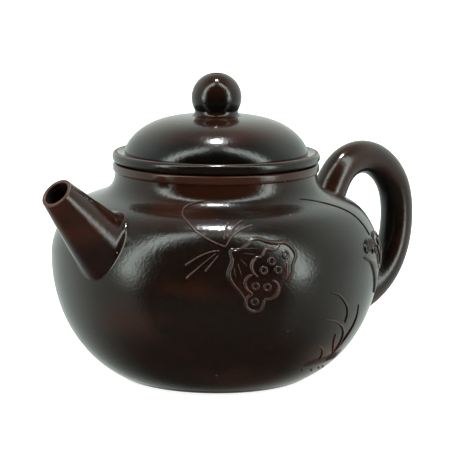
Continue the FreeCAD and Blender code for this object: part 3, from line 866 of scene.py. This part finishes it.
def plate(name, outline, node, height, surface=None, pitch=0.3):
    """A thin pad of clay on the wall inside a smooth closed outline of (bearing, height) points.

    surface(u, z, depth) may add to its height, with u in millimetres round the belly and depth in
    from the edge.
    """
    to_mm = pi * BELLY_R / 180.0
    edge = smooth_path([(b * to_mm, z) for b, z in outline], 240, closed=True)
    low = edge.min(0) - 1.0
    high = edge.max(0) + 1.0
    us = np.arange(low[0], high[0], pitch)
    zs = np.arange(low[1], high[1], pitch)
    grid = np.stack(np.meshgrid(us, zs, indexing="ij"), -1).reshape(-1, 2)
    a = edge
    b = np.roll(edge, -1, axis=0)
    ab = b - a
    share = np.clip(((grid[:, None] - a) * ab).sum(-1) / (ab * ab).sum(-1), 0, 1)
    gap = np.linalg.norm(grid[:, None] - (a + share[..., None] * ab), axis=-1).min(1)
    crosses = ((a[:, 1] > grid[:, None, 1]) != (b[:, 1] > grid[:, None, 1]))
    at = a[:, 0] + (grid[:, None, 1] - a[:, 1]) / np.where(ab[:, 1] == 0, 1e-9, ab[:, 1]) * ab[:, 0]
    inside = (crosses & (grid[:, None, 0] < at)).sum(1) % 2 == 1
    depth = np.where(inside, gap, -gap).reshape(len(us), len(zs))
    verts = []
    rub_and_shade = []
    index = {}
    for side in (0, 1):
        for i, u in enumerate(us):
            for j, z in enumerate(zs):
                d = depth[i, j]
                if d < -EDGE_SLOPE:
                    continue
                step = min(max((d + EDGE_SLOPE / 2) / EDGE_SLOPE, 0.0), 1.0)
                rise = -EDGE_SUNK + (height + EDGE_SUNK) * step * step * (3 - 2 * step)
                if surface:
                    rise += surface(u, z, d) * step
                index[side, i, j] = len(verts)
                verts.append(on_wall(u / to_mm, z, rise if side == 0 else -PAD_BACK))
                rub_and_shade.append(max(0.0, rise) / (height + 0.25) if side == 0 else 0.0)
    faces = []
    walls = {}
    for i in range(len(us) - 1):
        for j in range(len(zs) - 1):
            corner = [(i, j), (i + 1, j), (i + 1, j + 1), (i, j + 1)]
            if not all((0,) + c in index for c in corner):
                continue
            faces.append([index[(0,) + c] for c in corner])
            faces.append([index[(1,) + c] for c in corner][::-1])
            for c, d in zip(corner, corner[1:] + corner[:1]):
                key = frozenset((c, d))
                walls[key] = None if key in walls else (c, d)
    for pair in walls.values():
        if pair:
            c, d = pair
            faces.append([index[(0,) + d], index[(0,) + c], index[(1,) + c], index[(1,) + d]])
    used = sorted({v for f in faces for v in f})
    place = {v: k for k, v in enumerate(used)}
    piece = mesh_piece(name, [verts[v] for v in used], [[place[v] for v in f] for f in faces],
                       [RELIEF_CLAY], 60)
    # Painted shade: black round the pad's edge, where it meets the wall; its top is rubbed red as wear.
    rub = piece.data.attributes.new("rub_and_shade", "FLOAT", "POINT")
    for k, v in enumerate(used):
        rub.data[k].value = rub_and_shade[v]
    finish_piece(piece, "pot", [node])


MOTH_OUTLINE = [(-129.0, 47.0), (-126.6, 47.3), (-124.0, 48.4), (-121.6, 49.8), (-118.8, 50.2),
                (-115.6, 49.4), (-112.0, 49.0), (-108.8, 48.8), (-106.4, 47.2), (-105.6, 45.0),
                (-107.0, 43.0), (-107.6, 40.6), (-109.6, 38.2), (-112.0, 37.0), (-112.6, 35.0),
                (-114.4, 33.2), (-117.2, 32.6), (-118.4, 29.8), (-121.0, 28.9), (-123.6, 30.2),
                (-124.4, 33.2), (-125.8, 35.2), (-128.4, 37.6), (-129.9, 40.8), (-129.0, 43.2),
                (-128.6, 45.4)]
SCALLOPS = [[(-111.3, 48.4), (-111.9, 47.7), (-113.3, 47.0), (-115.2, 47.0), (-116.9, 46.9),
             (-117.6, 46.2), (-118.3, 45.2)],
            [(-118.3, 45.1), (-120.3, 44.9), (-121.6, 43.9), (-122.0, 42.3), (-121.4, 40.8),
             (-119.9, 39.6)],
            [(-121.8, 40.4), (-123.5, 39.6), (-124.3, 38.0), (-123.9, 36.7), (-123.0, 35.7),
             (-121.6, 34.8)],
            [(-121.6, 34.7), (-123.2, 34.0), (-123.8, 32.6), (-123.4, 31.0), (-121.8, 29.9),
             (-119.9, 29.7), (-118.7, 30.4), (-118.0, 31.6), (-117.8, 33.0)],
            [(-117.8, 33.1), (-115.6, 33.2), (-113.8, 34.2), (-112.9, 35.8), (-113.1, 37.1),
             (-114.0, 38.1), (-115.1, 38.5)],
            [(-109.2, 43.4), (-109.9, 42.0), (-110.0, 40.4), (-111.0, 38.6)]]
MOTH_RINGS = [(-109.8, 45.4), (-115.1, 43.8), (-118.0, 41.4), (-113.0, 41.3), (-120.8, 37.0),
              (-116.8, 36.6), (-120.9, 32.4)]
MOTH_VEINS = [[(-127.0, 46.8), (-123.2, 47.4), (-119.2, 47.4)],
              [(-127.0, 46.4), (-123.6, 46.1), (-120.4, 45.8)],
              [(-127.0, 45.9), (-125.4, 44.4), (-123.3, 42.6)],
              [(-127.5, 45.3), (-126.6, 43.1), (-125.4, 40.0)],
              [(-128.0, 44.6), (-127.9, 41.8), (-127.2, 39.0)]]
LONG_FEELER = [(-130.6, 48.0), (-133.7, 48.9), (-137.4, 50.3), (-141.7, 52.2), (-144.7, 53.9),
               (-147.3, 55.0), (-149.2, 56.1), (-149.5, 56.9), (-148.1, 57.6), (-144.3, 58.4),
               (-140.0, 58.8)]
SHORT_FEELERS = [[(-131.0, 49.8), (-130.6, 51.8), (-128.9, 54.2)],
                 [(-129.1, 50.9), (-127.2, 52.8), (-123.1, 54.5)],
                 [(-130.6, 48.0), (-128.2, 50.6), (-124.8, 52.3), (-119.6, 53.4)]]
TAIL_THREADS = [[(-132.6, 47.0), (-135.4, 46.7), (-139.8, 45.2), (-144.1, 42.7)],
                [(-134.0, 46.3), (-138.4, 43.2), (-143.6, 39.1)],
                [(-133.0, 45.8), (-135.2, 43.6), (-137.4, 41.2)]]


def knob_on(line, radius):
    """A short blob at the outer end of a thread."""
    (b0, z0), (b1, z1) = line[-2:]
    pull = 0.12
    return [(b1 + pull * (b0 - b1), z1 + pull * (z0 - z1)), (b1, z1),
            (b1 - 0.3 * pull * (b0 - b1), z1 - 0.3 * pull * (z0 - z1))], (radius, 1.2 * radius, radius), False


def drawn_in(outline):
    """The outline's points, drawn in a little towards their middle."""
    middle = np.mean(outline, axis=0)
    return [tuple(np.add(point, 0.045 * (middle - point))) for point in outline]


def ring_line(bearing, z, radius):
    """A circle on the wall."""
    stretch = BELLY_R / wall_r(z)
    return [(bearing + degrees(radius * cos(a) / BELLY_R) * stretch, z + radius * sin(a))
            for a in [2 * pi * k / 10 for k in range(10)]]


def make_moth():
    """The moth beside the spout: a veined wing with a scalloped pattern of rings, and its threads."""
    plate("moth_wing", MOTH_OUTLINE, "moth_wing_plate", 0.28)
    inner = drawn_in(MOTH_OUTLINE)
    edge = [(inner[:13], (0.9, 1.65, 0.9), False), (inner[:20:-1], (0.8, 1.1, 0.5), False)]
    scallops = [(line, (1.05, 1.25, 1.05), False) for line in SCALLOPS]
    cords("moth_edge", edge, None, 0.72, EDGE_CLAY)
    cords("moth_rim", [(MOTH_OUTLINE, (1.1, 1.1, 1.1), True)], None, 0.34, THREAD_CLAY)
    cords("moth_scallops", scallops, "moth_scallop_cord", 0.7)
    rings = [(ring_line(b, z, 0.9), (1.0, 1.0, 1.0), True) for b, z in MOTH_RINGS]
    cords("moth_ring_cords", rings, "moth_rings", 0.68, EDGE_CLAY)
    veins = [(vein, (0.4, 0.8, 0.7), False) for vein in MOTH_VEINS]
    cords("moth_vein_cords", veins, "moth_veins", 0.34, THREAD_CLAY)
    cords("moth_feeler_long", [(LONG_FEELER, (0.75, 0.6, 0.6), False), knob_on(LONG_FEELER, 0.8)],
          "moth_long_feeler", 0.38)
    short = [(f, (0.5, 0.6, 0.65), False) for f in SHORT_FEELERS] + [knob_on(f, 0.8) for f in SHORT_FEELERS]
    cords("moth_feelers_short", short, "moth_short_feelers", 0.42)
    cords("moth_tails", [(t, (0.35, 0.7, 1.15), False) for t in TAIL_THREADS], "moth_tail_threads", 0.5)


SIDE_THREAD = [(-84.5, 58.1), (-77.2, 57.3), (-71.2, 56.2), (-67.4, 54.8), (-65.0, 53.0), (-63.2, 50.8),
               (-61.8, 48.2), (-61.2, 46.2)]
SIDE_CREST = [(-66.0, 45.9), (-62.8, 45.4), (-60.8, 43.8), (-62.6, 42.8), (-64.6, 43.0), (-67.0, 41.9),
              (-70.2, 42.4), (-69.8, 44.2)]
SIDE_BODY = [(-72.6, 41.0), (-69.0, 41.2), (-66.0, 40.2), (-62.4, 39.4), (-58.6, 36.4), (-57.0, 32.6),
             (-56.3, 29.0), (-57.2, 28.0), (-59.0, 29.6), (-61.8, 33.4), (-65.4, 37.0), (-69.0, 39.4)]
SIDE_WING = [(-58.4, 45.6), (-54.0, 46.4), (-49.6, 43.6), (-48.6, 40.0), (-50.0, 36.6), (-53.0, 34.6),
             (-56.0, 36.2), (-57.8, 40.6)]
SIDE_RIB = [(-57.6, 43.0), (-56.6, 41.0), (-55.4, 38.6), (-54.6, 36.6)]


def make_side_moth():
    """The second moth, beside the handle."""
    def combed(u, z, depth):
        return 0.26 * sin((u - 0.5 * z) * 4.6) * min(1.0, max(depth, 0.0))

    def humped(u, z, depth):
        return 0.25 * min(1.0, max(depth, 0.0) / 1.5)
    cords("side_thread", [(SIDE_THREAD, (0.4, 0.42, 0.42), False)], "side_moth_thread", 0.28, THREAD_CLAY)
    plate("side_crest", SIDE_CREST, "side_moth_crest", 0.7, combed)
    plate("side_body", SIDE_BODY, "side_moth_body", 0.4, humped)
    plate("side_wing", SIDE_WING, "side_moth_wing", 0.35)
    ridges = [(drawn_in(SIDE_WING)[:6], (0.9, 1.2, 0.8), False), (SIDE_RIB, (0.9, 0.9, 0.7), False)]
    ridges.append((ring_line(-61.6, 41.6, 0.7), (0.6, 0.6, 0.6), True))
    ridges += [(ring_line(b, z, 0.86), (0.8, 0.8, 0.8), True) for b, z in ((-53.4, 43.2), (-52.4, 39.0))]
    cords("side_wing_ridges", ridges, None, 0.85)


REEDS = [([(-91.4, 33.0), (-88.3, 32.2), (-84.6, 30.0), (-81.3, 27.2), (-80.1, 24.9), (-80.0, 22.2)],
          (0.5, 0.9, 0.8)),
         ([(-91.9, 24.8), (-88.1, 24.0), (-83.6, 22.5), (-79.7, 20.2), (-77.4, 17.6), (-76.6, 15.0),
           (-76.8, 11.6)], (0.5, 1.0, 0.9)),
         ([(-83.4, 19.2), (-83.0, 17.4), (-81.0, 15.0), (-78.4, 12.6)], (0.4, 0.6, 0.5)),
         ([(-73.4, 27.0), (-72.0, 23.7), (-72.0, 20.3), (-73.4, 17.4), (-75.4, 14.2), (-77.6, 9.6)],
          (0.25, 0.42, 0.36)),
         ([(-91.3, 16.6), (-88.5, 15.3), (-86.0, 13.2), (-85.0, 10.8)], (0.4, 0.6, 0.5))]
SEEDS = [(-91.7, 7.8), (-84.0, 7.0), (-77.8, 6.9), (-73.6, 6.8)]


def make_grass():
    """Bent reeds, the grass they stand in, and seeds on the ground."""
    cords("reeds", [(points, widths, False) for points, widths in REEDS], "reed_blades", 0.42)
    blades = []
    for k in range(12):
        bearing = -92.4 + 1.95 * k
        root_z = 9.2 + 0.15 * (k % 2)
        tall = 2.1 + 0.5 * ((k * 5) % 4) / 3
        lean = 1.5 + 0.6 * ((k * 3) % 5) / 4
        blades.append(([(bearing, root_z), (bearing + 0.4 * lean, root_z + 0.55 * tall),
                        (bearing + lean, root_z + tall)], (0.24, 0.2, 0.14), False))
    cords("grass", blades, "grass_tufts", 0.34)
    cords("seeds", [([(b - 0.5, z), (b, z + 0.05), (b + 0.5, z)], (0.6, 0.9, 0.6), False) for b, z in SEEDS],
          "seed_dots", 0.4)


make_body()
make_base()
make_lip()
make_spout()
make_handle()
make_lid_rim()
make_flange()
make_dome()
make_collar()
make_knob()
make_moth()
make_side_moth()
make_grass()
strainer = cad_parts["spout_strainer"]
strainer.data.materials.clear()
strainer.data.materials.append(RAW_CLAY)


# --- Studio ---------------------------------------------------------------------------------
VIEW_BEARING = radians(-44.0)
VIEW_RISE = 0.187
VIEW_DISTANCE = 0.707
VIEW_LENS = 184.8
VIEW_LEAN = 0.007
LOOK_RIGHT = radians(-0.241)
LOOK_UP = radians(1.299)
AIM = Vector((0.0, 0.0, 0.0303))
ARCH_LIGHT = 6.5
ARCH_HALF_TURN = 61.0    # degrees from its middle to its side
ARCH_SPRING = 8.0        # degrees above the table where its sides start to curve in
ARCH_RISE = 64.0         # degrees from there to its top
ARCH_SQUARE = 2.7        # 2 is an ellipse, more is squarer
ARCH_EDGE = 0.12         # softness of its lit edge
ROOM_COLOUR = (0.89, 1.0, 0.94, 1.0)
LAMP_RISE = radians(91)
LAMP_WATTS = 3.6
SKY_WATTS = 9.0


def make_camera():
    """Long lens, a little above the pot, between the spout and the decorated side."""
    a, e = VIEW_BEARING, VIEW_RISE
    back = Vector((sin(a) * cos(e), -cos(a) * cos(e), sin(e)))
    right = Vector((cos(a), sin(a), 0.0))
    up = back.cross(right)
    axes = Matrix((right, up, back)).transposed()
    lean = Matrix.Rotation(VIEW_LEAN, 3, "Z")
    look_right = Matrix.Rotation(LOOK_RIGHT, 3, "Y")
    look_up = Matrix.Rotation(LOOK_UP, 3, "X")
    data = bpy.data.cameras.new("view")
    data.lens = VIEW_LENS
    data.sensor_width = 36.0
    data.clip_start = 0.01
    camera = place_object("view", data)
    camera.matrix_world = Matrix.Translation(AIM + back * VIEW_DISTANCE) @ (
        axes @ lean @ look_right @ look_up).to_4x4()
    bpy.context.scene.camera = camera


def make_world():
    """A white room, dark towards the camera inside a softly lit arch."""
    world = bpy.data.worlds.new("studio")
    bpy.context.scene.world = world
    world.use_nodes = True
    tree = world.node_tree
    background = tree.nodes["Background"]
    n = Nodes(tree)
    way = n.add("ShaderNodeTexCoord").outputs["Generated"]
    a = VIEW_BEARING

    def along(x, y, z):
        node = n.add("ShaderNodeVectorMath", {0: way, 1: (x, y, z)}, operation="DOT_PRODUCT")
        return node.outputs["Value"]

    # Turn from the camera's side and rise above the table, in degrees.
    side = along(cos(a), sin(a), 0.0)
    front = along(sin(a), -cos(a), 0.0)
    turn = n.times(n.math("ABSOLUTE", n.math("ARCTAN2", side, front)), 180 / pi)
    rise = n.times(n.math("ARCSINE", along(0.0, 0.0, 1.0)), 180 / pi)

    # Distance from the middle of the dark opening; 1 is the arch round it.
    wide = n.math("DIVIDE", turn, ARCH_HALF_TURN)
    tall = n.math("DIVIDE", n.math("MAXIMUM", n.minus(rise, ARCH_SPRING), 0.0), ARCH_RISE)
    out = n.plus(n.math("POWER", wide, ARCH_SQUARE), n.math("POWER", tall, ARCH_SQUARE))
    out = n.math("POWER", out, 1.0 / ARCH_SQUARE)
    off = n.math("DIVIDE", n.minus(out, 1.0), ARCH_EDGE)
    arch = n.math("EXPONENT", n.times(n.times(off, off), -1.0))
    arch = n.times(n.times(arch, ARCH_LIGHT), n.ramp(rise, -20.0, 2.0, 0.0, 1.0))
    arch = n.times(arch, n.ramp(turn, 8.0, 40.0, 0.12, 1.0))

    # Outside the arch: white walls, a darker ceiling and the table's falling light.
    walls = n.ramp(turn, 75.0, 125.0, 0.62, 1.0)
    ceiling = n.ramp(rise, 30.0, 74.0, 1.0, 0.25)
    table = n.ramp(rise, -62.0, -8.0, 0.05, 1.0)
    room = n.times(n.times(walls, ceiling), table)
    # Inside it: nearly black, with the table's near part in front of it.
    near = n.ramp(rise, -30.0, -8.0, 0.08, 0.0)
    near = n.times(near, n.ramp(rise, -75.0, -35.0, 0.35, 1.0))
    outside = n.ramp(out, 0.80, 1.05)
    light = n.plus(n.times(room, outside),
                   n.times(near, n.minus(1.0, outside)))
    light = n.plus(light, arch)
    path = n.add("ShaderNodeLightPath").outputs
    seen = path["Is Camera Ray"]
    matt = n.minus(1.0, n.times(path["Is Diffuse Ray"], 0.68))
    light = n.times(light, matt)
    shown = n.plus(n.times(light, n.minus(1.0, seen)), seen)
    tree.links.new(shown, background.inputs["Strength"])
    tree.links.new(mixed(n, seen, ROOM_COLOUR, (1.0, 1.0, 1.0, 1.0)), background.inputs["Color"])


def area_light(name, size, watts, rise, distance, colour):
    """A round light in front of the pot at that rise, aimed at it."""
    a = VIEW_BEARING
    data = bpy.data.lights.new(name, "AREA")
    data.shape = "DISK"
    data.size = size
    data.energy = watts
    data.color = colour
    light = place_object(name, data)
    front = Vector((sin(a), -cos(a), 0.0))
    place = AIM + (front * cos(rise) + Vector((0, 0, sin(rise)))) * distance
    aimed = (place - AIM).to_track_quat("Z", "Y").to_matrix().to_4x4()
    light.matrix_world = Matrix.Translation(place) @ aimed
    return light


def make_lights():
    """A small lamp over the pot, and a wide soft one whose own reflection is kept off the clay."""
    area_light("lamp", 0.065, LAMP_WATTS, LAMP_RISE, 0.7, (0.93, 0.99, 1.0))
    sky = area_light("sky", 1.2, SKY_WATTS, radians(70), 1.4, (1.0, 0.96, 0.92))
    sky.visible_glossy = False


def make_floor():
    """Plain white table."""
    data = bpy.data.meshes.new("floor")
    half = 6.0
    data.from_pydata([(-half, -half, 0), (half, -half, 0), (half, half, 0), (-half, half, 0)], [],
                     [(0, 1, 2, 3)])
    floor = place_object("floor", data)
    material = bpy.data.materials.new("white_table")
    material.use_nodes = True
    shader = material.node_tree.nodes["Principled BSDF"]
    shader.inputs["Base Color"].default_value = (0.95, 0.95, 0.94, 1.0)
    shader.inputs["Roughness"].default_value = 0.9
    shader.inputs["Emission Color"].default_value = (1.0, 1.0, 1.0, 1.0)
    shader.inputs["Emission Strength"].default_value = 0.9
    data.materials.append(material)
    floor.visible_glossy = False


make_camera()
make_world()
make_lights()
make_floor()
bpy.context.scene.view_settings.view_transform = "Standard"
